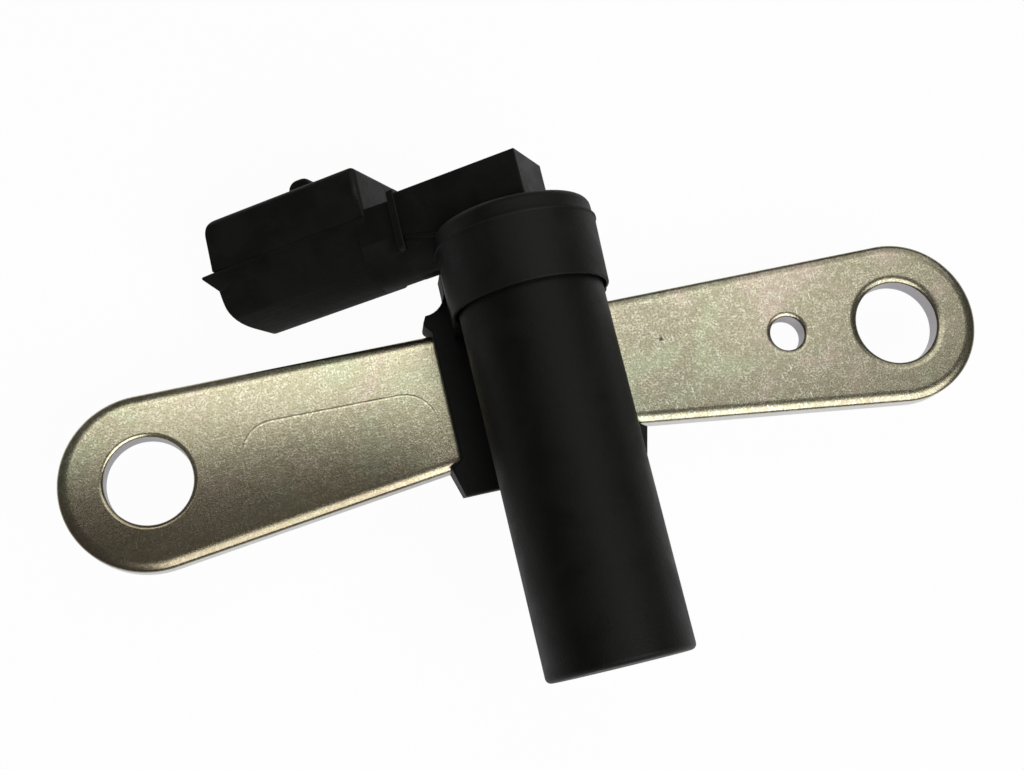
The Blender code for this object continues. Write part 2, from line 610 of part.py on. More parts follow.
def build_plug(barrel, arm, look):
    """The resin plug that seals the top of the barrel round the terminals' tails."""
    radius = BARREL_BORE_RADIUS - CLEARANCE
    low = coil_heights()["cup_top"] + LEAD_RISE + 2 * LEAD_RADIUS + CLEARANCE
    profile = [(0.0, low), (radius, low), (radius, PLUG_TOP), (0.0, PLUG_TOP)]
    plug = add_object("potting_plug", turned("potting_plug", profile, COIL_SEGMENTS), barrel, look)
    for key, place in blade_places().items():
        reach = BLADE_WIDTH / 2 + CLEARANCE
        depth = BLADE_THICKNESS / 2 + CLEARANCE
        outline = [(-depth, place - reach), (depth, place - reach),
                   (depth, place + reach), (-depth, place + reach)]
        name = f"tail_slot_{key}"
        cutter = add_object(name, extruded(name, outline, low - FLANGE, PLUG_TOP + FLANGE), arm)
        boolean(plug, cutter, "DIFFERENCE")


def build_leads(arm, look):
    """The coil's two wire ends, which climb the bobbin's grooves and turn in to the tails."""
    heights = coil_heights()
    turn = heights["cup_top"] + LEAD_RISE
    for (key, place), side in zip(blade_places().items(), (1, -1)):
        tail = place + side * (BLADE_WIDTH / 2 + CLEARANCE)
        centre = (LEAD_CIRCLE - LEAD_BEND, turn - LEAD_BEND)
        path = [(LEAD_CIRCLE, heights["flange"])] + arc(centre, LEAD_BEND, 0, 90, 4) + [(abs(tail), turn)]
        curve = bpy.data.curves.new(f"winding_lead_{key}", "CURVE")
        curve.dimensions = "3D"
        curve.bevel_depth = LEAD_RADIUS
        curve.bevel_resolution = 1
        curve.use_fill_caps = True
        spline = curve.splines.new("POLY")
        spline.points.add(len(path) - 1)
        for point, (reach, height) in zip(spline.points, path):
            point.co = (0.0, side * reach, height, 1.0)
        curve.materials.append(look)
        lead = bpy.data.objects.new(f"winding_lead_{key}", curve)
        bpy.context.scene.collection.objects.link(lead)
        lead.parent = arm


def build():
    """Make every piece of the sensor."""
    clear_scene()
    looks = {
        "plastic": material("black_plastic", (0.014, 0.014, 0.015), 0.5),
        "steel": material("plated_steel", (0.42, 0.39, 0.29), 0.36, 1.0),
        "bobbin": material("bobbin_plastic", (0.55, 0.52, 0.45), 0.5),
        "copper": material("enamelled_copper", (0.45, 0.13, 0.05), 0.35, 1.0),
        "tape": material("winding_tape", (0.62, 0.45, 0.10), 0.4),
        "iron": material("soft_iron", (0.35, 0.35, 0.36), 0.4, 1.0),
        "magnet": material("magnet", (0.10, 0.10, 0.11), 0.45, 1.0),
        "brass": material("tinned_brass", (0.60, 0.58, 0.52), 0.3, 1.0),
        "resin": material("potting_resin", (0.02, 0.02, 0.02), 0.35),
    }
    strip_frame, barrel, arm = build_frames()
    build_strip(strip_frame, looks["steel"])
    build_body(strip_frame, barrel, arm, looks["plastic"])
    build_sleeve(barrel, looks["plastic"])
    build_coil(barrel, arm, looks)
    build_terminals(arm, looks)
    build_plug(barrel, arm, looks["resin"])
    build_leads(arm, looks["copper"])
    for item in bpy.data.objects:
        if item.type == "MESH" and not item.hide_render:
            item.modifiers.new("face_normals", "WEIGHTED_NORMAL").keep_sharp = True
    bpy.context.view_layer.update()


build()
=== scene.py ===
import math

import bmesh
import bpy
from mathutils import Matrix, Vector


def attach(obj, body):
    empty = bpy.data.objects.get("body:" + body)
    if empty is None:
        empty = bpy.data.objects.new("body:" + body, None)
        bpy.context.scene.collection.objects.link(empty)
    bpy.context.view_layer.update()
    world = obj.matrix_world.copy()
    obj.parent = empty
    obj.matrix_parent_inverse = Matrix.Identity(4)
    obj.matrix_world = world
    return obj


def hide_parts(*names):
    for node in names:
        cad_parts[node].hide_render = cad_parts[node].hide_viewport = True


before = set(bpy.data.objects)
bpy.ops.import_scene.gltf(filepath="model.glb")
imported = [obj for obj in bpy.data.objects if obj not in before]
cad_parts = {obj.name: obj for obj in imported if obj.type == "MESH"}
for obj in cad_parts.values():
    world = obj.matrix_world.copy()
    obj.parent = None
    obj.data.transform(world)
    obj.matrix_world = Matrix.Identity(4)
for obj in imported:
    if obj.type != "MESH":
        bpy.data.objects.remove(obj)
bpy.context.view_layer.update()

MM = 0.001


# Mounting strip
# One punched plate of 3 mm steel, zinc plated with a faint yellow passivation. The punch rolls its
# upper edges over, and the moulding grips it round the middle. Two bolts pull it onto its seat.

def pick(kind, test):
    """In edit mode, select the points, edges or faces that pass a test. The test gets a point's
    place, an edge's two ends, or a face's middle and normal."""
    bpy.ops.mesh.select_mode(type=kind)
    bpy.ops.mesh.select_all(action="DESELECT")
    shape = bmesh.from_edit_mesh(bpy.context.object.data)
    if kind == "VERT":
        for point in shape.verts:
            point.select_set(test(point.co))
    elif kind == "EDGE":
        for edge in shape.edges:
            edge.select_set(test(edge.verts[0].co, edge.verts[1].co))
    else:
        for face in shape.faces:
            face.select_set(test(face.calc_center_median(), face.normal))
    bmesh.update_edit_mesh(bpy.context.object.data)


def begin(name):
    """Name the primitive that was just added, put its place in its mesh and start to edit it."""
    piece = bpy.context.object
    piece.name = name
    bpy.ops.object.transform_apply(location=True, rotation=True, scale=True)
    bpy.ops.object.mode_set(mode="EDIT")
    bpy.ops.mesh.select_mode(type="VERT")
    bpy.ops.mesh.select_all(action="SELECT")
    return piece


def end():
    """Merge doubles, turn the faces outwards and leave edit mode."""
    bpy.ops.mesh.select_mode(type="VERT")
    bpy.ops.mesh.select_all(action="SELECT")
    bpy.ops.mesh.remove_doubles(threshold=0.002 * MM)
    bpy.ops.mesh.normals_make_consistent(inside=False)
    bpy.ops.object.mode_set(mode="OBJECT")
    return bpy.context.object


def pull(offset):
    """Extrude what is selected by an offset in metres."""
    bpy.ops.mesh.extrude_region_move(TRANSFORM_OT_translate={"value": offset})


def round_edges(width, steps):
    """Bevel the selected edges to a round of a width in metres."""
    bpy.ops.mesh.bevel(offset=width, segments=steps, profile=0.5, affect="EDGES")


def choose(piece):
    """Make a piece the active one and the only selected one."""
    bpy.ops.object.select_all(action="DESELECT")
    piece.select_set(True)
    bpy.context.view_layer.objects.active = piece


def apply_all(piece):
    """Apply every modifier of a piece, in their order."""
    choose(piece)
    for step in list(piece.modifiers):
        bpy.ops.object.modifier_apply(modifier=step.name)


def combine(piece, tool, operation):
    """Join another solid to a piece, or cut it out, and remove it."""
    step = piece.modifiers.new("combine", "BOOLEAN")
    step.operation = operation
    step.solver = "EXACT"
    step.object = tool
    apply_all(piece)
    bpy.data.objects.remove(tool)


def soften(piece, width, steps=3):
    """Round all clear edges of a piece, those that turn by more than 34 degrees."""
    bevel = piece.modifiers.new("soft_edges", "BEVEL")
    bevel.width = width
    bevel.segments = steps
    bevel.limit_method = "ANGLE"
    bevel.angle_limit = math.radians(34)
    apply_all(piece)


def smooth(piece):
    """Smooth the round faces, keep the flat ones flat and put the result in the mesh."""
    choose(piece)
    bpy.ops.object.shade_smooth_by_angle(angle=math.radians(31))
    level = piece.modifiers.new("flat_faces", "WEIGHTED_NORMAL")
    level.keep_sharp = True
    apply_all(piece)


strip_top = 3.0 * MM
roll_wide, roll_deep, roll_steps = 1.6 * MM, 0.6 * MM, 7
left_ear = Vector((-50.0, -0.15, 2.4)) * MM
right_ear = Vector((50.0, 0.0, 2.4)) * MM
waist = Vector((4.0, -4.9, 2.4)) * MM
# Turns each ring so that one of its points lies where the straight upper edge meets it
ear_turn = math.radians(89.857)

bpy.ops.object.select_all(action="DESELECT")
bpy.ops.mesh.primitive_circle_add(vertices=192, radius=11.25 * MM, location=left_ear,
                                  rotation=(0.0, 0.0, ear_turn))
left_ring = bpy.context.object
bpy.ops.object.transform_apply(location=True, rotation=True, scale=True)
bpy.ops.mesh.primitive_circle_add(vertices=192, radius=10.85 * MM, location=right_ear,
                                  rotation=(0.0, 0.0, ear_turn))
strip = begin("steel_strip")
bpy.ops.object.mode_set(mode="OBJECT")
left_ring.select_set(True)
bpy.ops.object.join()
bpy.ops.object.mode_set(mode="EDIT")
pick("VERT", lambda at: at.y > 0 and -49.95 * MM < at.x < 50.0 * MM)
bpy.ops.mesh.delete(type="VERT")
pick("VERT", lambda at: at.y < 0 and -48.52 * MM < at.x < 48.5 * MM)
bpy.ops.mesh.delete(type="VERT")
pick("VERT", lambda at: at.y > 10.8 * MM and abs(abs(at.x) - 50.0 * MM) < 0.1 * MM)
bpy.ops.mesh.edge_face_add()
pick("VERT", lambda at: at.y < -10.6 * MM and abs(at.x) < 48.6 * MM)
bpy.ops.mesh.edge_face_add()
pick("EDGE", lambda a, b: (a - b).length > 50 * MM and a.y < 0)
bpy.ops.mesh.subdivide(number_cuts=1)
pick("VERT", lambda at: abs(at.x) < 10 * MM and at.y < 0)
middle = [point.co.copy() for point in bmesh.from_edit_mesh(strip.data).verts if point.select][0]
bpy.ops.transform.translate(value=waist - middle)
bpy.ops.mesh.select_all(action="SELECT")
bpy.ops.mesh.edge_face_add()
bpy.ops.mesh.select_all(action="SELECT")
pull((0.0, 0.0, roll_deep - strip_top))
bpy.ops.mesh.select_all(action="SELECT")
bpy.ops.mesh.normals_make_consistent(inside=False)
pick("FACE", lambda at, normal: normal.z > 0.9)
for step in range(roll_steps):
    inner, outer = math.radians(90 * (step + 1) / roll_steps), math.radians(90 * step / roll_steps)
    bpy.ops.mesh.inset(thickness=roll_wide * (math.cos(outer) - math.cos(inner)),
                       depth=roll_deep * (math.sin(inner) - math.sin(outer)))
pick("EDGE", lambda a, b: max(a.z, b.z) < 0.1 * MM)
round_edges(0.12 * MM, 1)
end()

# Each hole's place, its radius, and the width and depth of its rolled edge, in millimetres. The
# last two lock the moulding and are hidden in it.
left_hole, right_hole, small_hole = (-50.0, 0.0), (50.0, 0.0), (34.9, 1.6)
holes = ((left_hole, 5.55, 0.6, 0.4), (right_hole, 5.55, 1.1, 0.45), (small_hole, 2.3, 0.7, 0.35),
         ((-6.5, 3.0), 2.3, 0.1, 0.1), ((6.5, 3.0), 2.3, 0.1, 0.1))
hole_steps = 6
for (across, up), radius, wide, deep in holes:
    low, high = -strip_top, strip_top - deep * MM
    bpy.ops.object.select_all(action="DESELECT")
    bpy.ops.mesh.primitive_cylinder_add(vertices=128, radius=radius * MM, depth=high - low,
                                        location=(across * MM, up * MM, (low + high) / 2))
    begin("punch")
    pick("FACE", lambda at, normal: normal.z > 0.9)
    size = radius
    for step in range(hole_steps):
        inner, outer = math.radians(90 * (step + 1) / hole_steps), math.radians(90 * step / hole_steps)
        pull((0.0, 0.0, deep * MM * (math.sin(inner) - math.sin(outer))))
        wider = radius + wide * (1 - math.cos(inner))
        bpy.ops.transform.resize(value=(wider / size, wider / size, 1.0))
        size = wider
    pull((0.0, 0.0, strip_top))
    combine(strip, end(), "DIFFERENCE")
smooth(strip)
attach(strip, "root")
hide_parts("mounting_strip")


def add(tree, kind, **values):
    """Add a node and set its own properties."""
    made = tree.nodes.new(kind)
    for name, value in values.items():
        setattr(made, name, value)
    return made


def feed(tree, socket, source):
    """Link an output to an input, or set the input where the source is a value."""
    if isinstance(source, bpy.types.NodeSocket):
        tree.links.new(source, socket)
    else:
        socket.default_value = source


def math_node(tree, operation, first, second=0.0, third=0.0):
    """One math node with its inputs fed."""
    made = add(tree, "ShaderNodeMath", operation=operation)
    feed(tree, made.inputs[0], first)
    feed(tree, made.inputs[1], second)
    feed(tree, made.inputs[2], third)
    return made.outputs[0]


def times(tree, first, second):
    """The product of two values."""
    return math_node(tree, "MULTIPLY", first, second)


def axes_of(tree, vector):
    """The X, Y and Z of a vector."""
    made = add(tree, "ShaderNodeSeparateXYZ")
    feed(tree, made.inputs["Vector"], vector)
    return made.outputs


def distance(tree, place, point):
    """How far a place is from a point given in millimetres."""
    made = add(tree, "ShaderNodeVectorMath", operation="DISTANCE")
    feed(tree, made.inputs[0], place)
    feed(tree, made.inputs[1], [value * MM for value in point])
    return made.outputs["Value"]


def mapped(tree, vector, shift=(0.0, 0.0, 0.0), turn=(0.0, 0.0, 0.0), stretch=(1.0, 1.0, 1.0)):
    """A vector that is stretched, turned and moved."""
    made = add(tree, "ShaderNodeMapping")
    feed(tree, made.inputs["Vector"], vector)
    feed(tree, made.inputs["Location"], shift)
    feed(tree, made.inputs["Rotation"], turn)
    feed(tree, made.inputs["Scale"], stretch)
    return made.outputs["Vector"]


def blend_colour(tree, amount, first, second):
    """A colour between two others."""
    made = add(tree, "ShaderNodeMix", data_type="RGBA")
    feed(tree, made.inputs["Factor"], amount)
    feed(tree, made.inputs["A"], first)
    feed(tree, made.inputs["B"], second)
    return made.outputs["Result"]


def ramp(tree, value, low, high, start=0.0, stop=1.0):
    """Remap a value from one range to another, softly at both ends."""
    made = add(tree, "ShaderNodeMapRange", interpolation_type="SMOOTHSTEP")
    feed(tree, made.inputs["Value"], value)
    feed(tree, made.inputs["From Min"], low)
    feed(tree, made.inputs["From Max"], high)
    feed(tree, made.inputs["To Min"], start)
    feed(tree, made.inputs["To Max"], stop)
    return made.outputs["Result"]


def noise(tree, vector, scale, detail=2.0, roughness=0.5, distortion=0.0):
    """A noise pattern; scale is in features a metre."""
    made = add(tree, "ShaderNodeTexNoise")
    feed(tree, made.inputs["Vector"], vector)
    feed(tree, made.inputs["Scale"], scale)
    feed(tree, made.inputs["Detail"], detail)
    feed(tree, made.inputs["Roughness"], roughness)
    feed(tree, made.inputs["Distortion"], distortion)
    return made.outputs["Fac"]


def new_group(name, inputs, outputs):
    """An empty shader group with named sockets."""
    group = bpy.data.node_groups.new(name, "ShaderNodeTree")
    for label, kind, value in inputs:
        socket = group.interface.new_socket(name=label, in_out="INPUT", socket_type=kind)
        if value is not None:
            socket.default_value = value
    for label, kind in outputs:
        group.interface.new_socket(name=label, in_out="OUTPUT", socket_type=kind)
    return group, add(group, "NodeGroupInput"), add(group, "NodeGroupOutput")


def use_group(tree, group, **values):
    """Place a group in a material and feed its inputs."""
    made = add(tree, "ShaderNodeGroup", node_tree=group)
    for label, value in values.items():
        feed(tree, made.inputs[label.replace("_", " ")], value)
    return made.outputs


def new_material(name, roughness, metallic=0.0):
    """A material with its Principled shader and the object's own coordinates."""
    made = bpy.data.materials.new(name)
    made.use_nodes = True
    tree = made.node_tree
    shader = tree.nodes["Principled BSDF"]
    shader.inputs["Roughness"].default_value = roughness
    shader.inputs["Metallic"].default_value = metallic
    place = add(tree, "ShaderNodeTexCoord").outputs["Object"]
    return made, tree, shader, place


def surface(tree, shader, colour, roughness, height, depth):
    """Feed a shader's colour, roughness and relief; the relief's depth is in metres."""
    feed(tree, shader.inputs["Base Color"], colour)
    feed(tree, shader.inputs["Roughness"], roughness)
    made = add(tree, "ShaderNodeBump")
    feed(tree, made.inputs["Distance"], depth)
    feed(tree, made.inputs["Height"], height)
    tree.links.new(made.outputs["Normal"], shader.inputs["Normal"])


def finish_with(piece, material):
    """Give a piece one material."""
    piece.data.materials.clear()
    piece.data.materials.append(material)


edge_group, edge_in, edge_out = new_group(
    "edge_rub", [("Radius", "NodeSocketFloat", 0.3 * MM), ("Vector", "NodeSocketVector", None),
                 ("Patch Scale", "NodeSocketFloat", 400.0)],
    [("Mask", "NodeSocketFloat")])
edge_bevel = add(edge_group, "ShaderNodeBevel", samples=6)
edge_group.links.new(edge_in.outputs["Radius"], edge_bevel.inputs["Radius"])
edge_flat = add(edge_group, "ShaderNodeNewGeometry")
edge_turn = add(edge_group, "ShaderNodeVectorMath", operation="DOT_PRODUCT")
edge_group.links.new(edge_bevel.outputs["Normal"], edge_turn.inputs[0])
edge_group.links.new(edge_flat.outputs["Normal"], edge_turn.inputs[1])
edge_mask = ramp(edge_group, edge_turn.outputs["Value"], 0.98, 0.82)
edge_patch = noise(edge_group, edge_in.outputs["Vector"], edge_in.outputs["Patch Scale"], 3.0)
edge_patch = ramp(edge_group, edge_patch, 0.38, 0.62)
edge_group.links.new(times(edge_group, edge_mask, edge_patch), edge_out.inputs["Mask"])

speck_group, speck_in, speck_out = new_group(
    "specks", [("Vector", "NodeSocketVector", None), ("Scale", "NodeSocketFloat", 500.0),
               ("Size", "NodeSocketFloat", 0.12), ("Density", "NodeSocketFloat", 0.2)],
    [("Mask", "NodeSocketFloat")])
speck_cells = add(speck_group, "ShaderNodeTexVoronoi")
feed(speck_group, speck_cells.inputs["Vector"], speck_in.outputs["Vector"])
feed(speck_group, speck_cells.inputs["Scale"], speck_in.outputs["Scale"])
speck_split = add(speck_group, "ShaderNodeSeparateColor")
speck_group.links.new(speck_cells.outputs["Color"], speck_split.inputs["Color"])
speck_few = math_node(speck_group, "LESS_THAN", speck_split.outputs["Red"], speck_in.outputs["Density"])
speck_dot = math_node(speck_group, "LESS_THAN", speck_cells.outputs["Distance"], speck_in.outputs["Size"])
speck_group.links.new(times(speck_group, speck_few, speck_dot), speck_out.inputs["Mask"])

scratch_group, scratch_in, scratch_out = new_group(
    "scratches", [("Vector", "NodeSocketVector", None)], [("Mask", "NodeSocketFloat")])
scratch_sum = 0.0
for turn, shift in ((0.5, 0.0), (1.25, 0.07), (2.3, 0.19)):
    lay = mapped(scratch_group, scratch_in.outputs["Vector"], (shift, 0.0, 0.0), (0.0, 0.0, turn),
                 (1.0, 0.13, 1.0))
    hair = ramp(scratch_group, noise(scratch_group, lay, 2600.0, 1.0), 0.71, 0.75)
    scratch_sum = math_node(scratch_group, "MAXIMUM", hair, scratch_sum)
scratch_where = noise(scratch_group, scratch_in.outputs["Vector"], 90.0, 2.0)
scratch_sum = times(scratch_group, scratch_sum, ramp(scratch_group, scratch_where, 0.42, 0.60))
scratch_along = axes_of(scratch_group, scratch_in.outputs["Vector"])["X"]
scratch_side = ramp(scratch_group, scratch_along, -10 * MM, 14 * MM, 0.25, 1.0)
scratch_sum = times(scratch_group, scratch_sum, scratch_side)
scratch_group.links.new(scratch_sum, scratch_out.inputs["Mask"])

plating, tree, shader, place = new_material("yellow_zinc_plating", 0.30, 1.0)
spot = axes_of(tree, place)
crystals = noise(tree, place, 3700.0, 3.0, 0.68)
fine = noise(tree, place, 7500.0, 2.0, 0.6)
clumps = ramp(tree, noise(tree, place, 1100.0, 2.0, 0.6), 0.38, 0.62, 0.35, 1.0)
sparkle = times(tree, ramp(tree, crystals, 0.41, 0.62), clumps)
drift = noise(tree, place, 55.0, 3.0, 0.55, 0.4)
tint = noise(tree, place, 130.0, 2.0, 0.5, 0.8)
rub = use_group(tree, edge_group, Radius=0.35 * MM, Vector=place, Patch_Scale=350.0)["Mask"]
pits = use_group(tree, speck_group, Vector=place, Scale=120.0, Size=0.05, Density=0.07)["Mask"]
scratched = use_group(tree, scratch_group, Vector=place)["Mask"]
# Painted shade: the lower left part of the strip is painted darker and browner
low_side = math_node(tree, "MULTIPLY_ADD", spot["X"], -0.12, times(tree, spot["Y"], -1.0))
left_part = ramp(tree, spot["X"], -8 * MM, -20 * MM)
painted_shade_lower_left = times(tree, ramp(tree, low_side, -2 * MM, 14 * MM), left_part)
facing = axes_of(tree, add(tree, "ShaderNodeNewGeometry").outputs["Normal"])
# The walls of the strip: bare sheared steel, painted brighter as a painted reflection of the white table
sheared_walls_with_painted_light = ramp(tree, facing["Z"], 0.35, 0.1)
# A small dark spot on the right part of the strip
dark_spot = distance(tree, place, (17.97, 4.31, 3.0))

# What lies over the plain film, in order, with how much of it shows: painted shade on the right part,
# green and pink tints, bright and dark crystals, rubbed edges, pits, painted shade in brown on the
# lower left part, painted shade on the right part once more and on its end, the walls as bare sheared
# steel painted brighter as a painted reflection, painted shade on those of the holes, one small dark
# spot and the scratches.
layers = [
    # Painted shade: the right part is painted darker
    (ramp(tree, spot["X"], 4 * MM, 16 * MM, 0.0, 0.42), (0.17, 0.16, 0.115)),
    (ramp(tree, tint, 0.52, 0.72, 0.0, 0.55), (0.41, 0.49, 0.30)),
    (ramp(tree, tint, 0.46, 0.28, 0.0, 0.50), (0.57, 0.42, 0.37)),
    (times(tree, sparkle, 0.82), (0.80, 0.768, 0.595)),
    (ramp(tree, crystals, 0.43, 0.28, 0.0, 0.5), (0.21, 0.195, 0.14)),
    (times(tree, rub, 0.4), (0.66, 0.65, 0.60)),
    (pits, (0.10, 0.08, 0.06)),
    # Painted shade in brown on the lower left part
    (times(tree, painted_shade_lower_left, 0.70), (0.19, 0.145, 0.098)),
    # Painted shade on the right part once more, and on its right end
    (ramp(tree, spot["X"], 4 * MM, 16 * MM, 0.0, 0.22), (0.17, 0.16, 0.115)),
    (ramp(tree, spot["X"], 30 * MM, 48 * MM, 0.0, 0.24), (0.17, 0.15, 0.10)),
    # The walls: bare sheared steel, and a painted reflection that makes them brighter
    (sheared_walls_with_painted_light, (0.80, 0.79, 0.76)),
]
# Painted shade: the walls inside the holes are painted a darker violet grey
for hole, reach in ((left_hole, 6.4), (right_hole, 6.4), (small_hole, 2.9)):
    inside = math_node(tree, "LESS_THAN", distance(tree, place, (*hole, 1.5)), reach * MM)
    layers.append((times(tree, inside, sheared_walls_with_painted_light), (0.52, 0.50, 0.53)))
layers.append((ramp(tree, dark_spot, 0.42 * MM, 0.15 * MM), (0.07, 0.06, 0.05)))
layers.append((times(tree, scratched, 0.45), (0.86, 0.84, 0.76)))
film = blend_colour(tree, ramp(tree, drift, 0.3, 0.7), (0.40, 0.368, 0.235, 1), (0.50, 0.455, 0.298, 1))
for amount, colour in layers:
    film = blend_colour(tree, amount, film, (*colour, 1))
rough = math_node(tree, "ADD", ramp(tree, fine, 0.3, 0.7, 0.15, 0.25), times(tree, drift, 0.04))

# The pressed line on the left part: the upper half of a long outline with round corners
turned = axes_of(tree, mapped(tree, place, (25.6 * MM, 2.3 * MM, 0.0), (0.0, 0.0, math.radians(0.8))))
reach_x = math_node(tree, "SUBTRACT", math_node(tree, "ABSOLUTE", turned["X"]), 8.2 * MM)
reach_y = math_node(tree, "SUBTRACT", math_node(tree, "ABSOLUTE", turned["Y"]), 1.8 * MM)
square_x = math_node(tree, "POWER", math_node(tree, "MAXIMUM", reach_x, 0.0), 2.0)
square_y = math_node(tree, "POWER", math_node(tree, "MAXIMUM", reach_y, 0.0), 2.0)
far = math_node(tree, "SQRT", math_node(tree, "ADD", square_x, square_y))
off_line = math_node(tree, "ABSOLUTE", math_node(tree, "SUBTRACT", far, 4.3 * MM))
line = times(tree, ramp(tree, off_line, 0.22 * MM, 0.0), ramp(tree, turned["Y"], -3.5 * MM, 0.5 * MM))

# The left part is a little crowned across the strip
crown = math_node(tree, "ABSOLUTE", math_node(tree, "SUBTRACT", spot["Y"], 3 * MM))
crown = math_node(tree, "POWER", crown, 2.0)
crown = times(tree, crown, ramp(tree, spot["X"], -8 * MM, -24 * MM))
relief = math_node(tree, "MULTIPLY_ADD", crystals, 0.17, times(tree, fine, 0.16))
for height, amount in ((line, -0.27), (scratched, -0.15), (pits, -0.8), (crown, -48000.0)):
    relief = math_node(tree, "MULTIPLY_ADD", height, amount, relief)
surface(tree, shader, film, rough, relief, 0.045 * MM)
finish_with(strip, plating)


# Body moulding
# One black glass-filled nylon moulding, shot round the strip: the block that grips it, the head over
# the barrel, the arm across the head and the shroud of the connector with its half-round keel.

def box_between(name, low, high):
    """A box between two corners given in millimetres."""
    low, high = Vector(low) * MM, Vector(high) * MM
    bpy.ops.object.select_all(action="DESELECT")
    bpy.ops.mesh.primitive_cube_add(size=1.0, location=(low + high) / 2, scale=high - low)
    return begin(name)


def draw(name, corners, thickness):
    """Draw an outline in millimetres by extruding one point from corner to corner, fill it, and
    extrude it by a thickness."""
    corners = [Vector(corner) * MM for corner in corners]
    bpy.ops.object.select_all(action="DESELECT")
    bpy.ops.mesh.primitive_plane_add(size=MM, location=corners[0])
    piece = begin(name)
    bpy.ops.mesh.merge(type="CENTER")
    for here, there in zip(corners, corners[1:]):
        bpy.ops.mesh.extrude_vertices_move(TRANSFORM_OT_translate={"value": there - here})
    bpy.ops.mesh.select_all(action="SELECT")
    bpy.ops.mesh.edge_face_add()
    bpy.ops.mesh.select_all(action="SELECT")
    pull(Vector(thickness) * MM)
    return piece


def bow(centre, radius, start, stop, steps, rise=None):
    """Points on a bow, in millimetres and degrees; a rise makes it part of an ellipse."""
    rise = radius if rise is None else rise
    angles = [math.radians(start + (stop - start) * step / steps) for step in range(steps + 1)]
    return [(centre[0] + radius * math.cos(angle), centre[1] + rise * math.sin(angle)) for angle in angles]


def slice_off(point, normal):
    """Cut away all that lies beyond a plane through a point in metres, and fill the cut."""
    bpy.ops.mesh.select_all(action="SELECT")
    bpy.ops.mesh.bisect(plane_co=point, plane_no=normal, use_fill=True, clear_outer=True)


def keel_bar(name, start, stop, middle, half, bottom, split, top, corner):
    """Start a bar along X, in millimetres, from a start to a stop. It is twice its half wide,
    half-round below the split, flat above it, and its upper edges are rounded."""
    bpy.ops.object.select_all(action="DESELECT")
    bpy.ops.mesh.primitive_cylinder_add(vertices=96, radius=half * MM, depth=(stop - start) * MM,
                                        location=Vector(((start + stop) / 2, middle, split)) * MM,
                                        rotation=(0.0, math.pi / 2, 0.0))
    piece = begin(name)
    bpy.ops.transform.resize(value=(1.0, 1.0, (split - bottom) / half))
    slice_off((0.0, 0.0, split * MM), (0.0, 0.0, 1.0))
    pick("FACE", lambda at, normal: abs(at.z - split * MM) < 0.01 * MM and abs(normal.z) > 0.9)
    pull((0.0, 0.0, (top - split) * MM))
    pick("EDGE", lambda a, b: min(a.z, b.z) > (top - 0.01) * MM and abs(a.x - b.x) > MM)
    round_edges(corner * MM, 4)
    return piece


def axis_rod(name, radius, depth, middle, sides):
    """Start a cylinder on the barrel's axis, in millimetres, with its upper end selected."""
    bpy.ops.object.select_all(action="DESELECT")
    bpy.ops.mesh.primitive_cylinder_add(vertices=sides, radius=radius * MM, depth=depth * MM,
                                        location=(0.0, middle * MM, axis_height),
                                        rotation=(math.pi / 2, 0.0, 0.0))
    piece = begin(name)
    pick("FACE", lambda at, normal: normal.y > 0.9)
    return piece


axis_height = 16.5 * MM

block_half = [(11.9, -10.8), (12.9, -6.9), (11.45, -5.9), (11.45, 11.0), (12.4, 12.15)]
block_half += bow((11.8, 16.3), 3.0, 270, 180, 8)
block_half += [(8.8, 18.4)]
block_corners = [(x, y, 0.3) for x, y in block_half] + [(-x, y, 0.3) for x, y in reversed(block_half)]
body = draw("body_shell", block_corners, (0.0, 0.0, 4.5))
pick("VERT", lambda at: at.z < MM and at.y < -10.5 * MM)
bpy.ops.transform.translate(value=(0.0, 0.5 * MM, 0.0))
pick("EDGE", lambda a, b: abs(a.z - b.z) > MM and abs(a.x) > 12.0 * MM and a.y > 12.0 * MM)
round_edges(0.4 * MM, 3)
pick("EDGE", lambda a, b: min(a.z, b.z) > 4.7 * MM)
round_edges(0.3 * MM, 3)
end()

box_between("web", (-6.0, -9.6, 3.4), (6.0, 9.7, 12.0))
combine(body, end(), "UNION")

shoulder_corners = [(-8.65, 9.5, 3.6), (8.65, 9.5, 3.6), (9.7, 9.5, 16.5), (-9.7, 9.5, 16.5)]
draw("shoulder", shoulder_corners, (0.0, 8.6, 0.0))
combine(body, end(), "UNION")

head_radius, step_radius, collar_radius = 10.05, 10.21, 9.78
axis_rod("head", head_radius, 8.08, 13.24, 128)
pull((0.0, 0.16 * MM, 0.0))
bpy.ops.transform.resize(value=(step_radius / head_radius, 1.0, step_radius / head_radius))
pull((0.0, 0.16 * MM, 0.0))
bpy.ops.mesh.inset(thickness=0.34 * MM)
pull((0.0, 2.4 * MM, 0.0))
pick("EDGE", lambda a, b: min(a.y, b.y) > 19.9 * MM)
round_edges(1.0 * MM, 6)
pick("FACE", lambda at, normal: normal.y < -0.9)
bpy.ops.transform.resize(value=(collar_radius / head_radius, 1.0, collar_radius / head_radius))
pick("EDGE", lambda a, b: max(a.y, b.y) < 9.3 * MM)
round_edges(0.14 * MM, 3)
combine(body, end(), "UNION")

# The arm and the shroud are made with X out along the arm, Y away from the strip and Z up along
# the barrel's axis, and are turned into place together.
arm_turn = math.radians(28.0)
along = Vector((-math.cos(arm_turn), 0.0, -math.sin(arm_turn)))
outward = Vector((-math.sin(arm_turn), 0.0, math.cos(arm_turn)))
arm_axes = Matrix((along, outward, Vector((0.0, 1.0, 0.0)))).transposed().to_4x4()
arm_place = Matrix.Translation((0.0, 0.0, axis_height)) @ arm_axes

